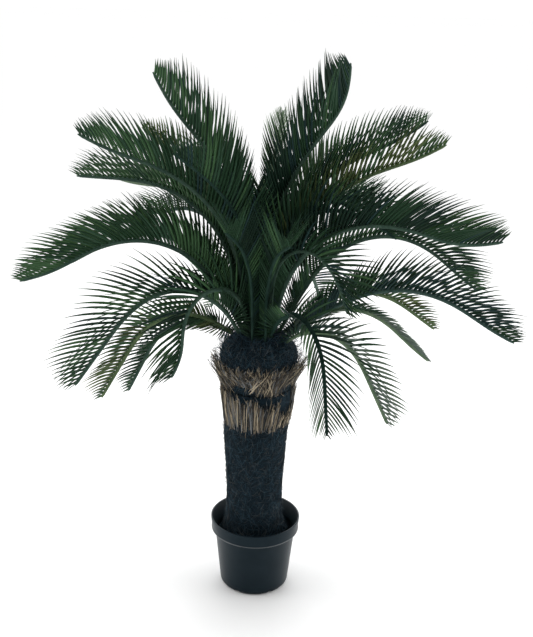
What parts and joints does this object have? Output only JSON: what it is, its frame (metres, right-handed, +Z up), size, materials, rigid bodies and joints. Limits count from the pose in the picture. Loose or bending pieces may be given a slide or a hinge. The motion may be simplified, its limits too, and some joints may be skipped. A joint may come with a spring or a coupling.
{
  "type": "artificial sago palm in a nursery pot",
  "caption": "Artificial sago palm: thick fibre trunk with two collars of cut leaf bases, arching feather fronds, in a round tapered pot.",
  "frame": {"origin": "centre of the pot's flat underside", "axes": "+Z up along the trunk, -Y towards the front of the plant, +X to its right"},
  "size_m": [1.0424, 0.7314, 1.1754],
  "materials": {
    "pot": "matte, slightly glossy",
    "pot_fill": "rough",
    "trunk_fibre": "coarse fibre",
    "leaf_base": "dry fibrous",
    "frond_green": "satin",
    "frond_blue_green": "satin",
    "frond_yellow_green": "satin",
    "frond_pale_green": "satin"
  },
  "bodies": {
    "root": {"pot": "pot", "pot_fill": "pot_fill", "trunk": "trunk_fibre", "collar_lower": "leaf_base", "collar_upper": "leaf_base", "crown_fibre": "trunk_fibre", "frond_upper_left": "frond_green", "frond_upper_right": "frond_green", "frond_back_top": "frond_pale_green", "frond_front_left": "frond_green", "frond_left_1": "frond_green", "frond_left_2": "frond_green", "frond_left_3": "frond_yellow_green", "frond_left_4": "frond_pale_green", "frond_left_5": "frond_green", "frond_left_6": "frond_green", "frond_right_1": "frond_green", "frond_right_2": "frond_yellow_green", "frond_right_3": "frond_green", "frond_right_4": "frond_green", "frond_right_5": "frond_green", "frond_low_left_1": "frond_green", "frond_low_left_2": "frond_yellow_green", "frond_low_left_3": "frond_green", "frond_low_left_4": "frond_green", "frond_low_right_1": "frond_blue_green", "frond_low_right_2": "frond_yellow_green", "frond_low_right_3": "frond_green", "frond_low_right_4": "frond_green", "frond_low_right_5": "frond_green", "frond_front_right": "frond_green", "frond_front_1": "frond_green", "frond_front_2": "frond_green", "frond_back_left": "frond_green", "frond_back_right": "frond_green", "frond_rear_1": "frond_green", "frond_rear_2": "frond_green", "frond_rear_3": "frond_green", "frond_rear_4": "frond_green", "frond_rear_5": "frond_green"}
  },
  "joints": []
}
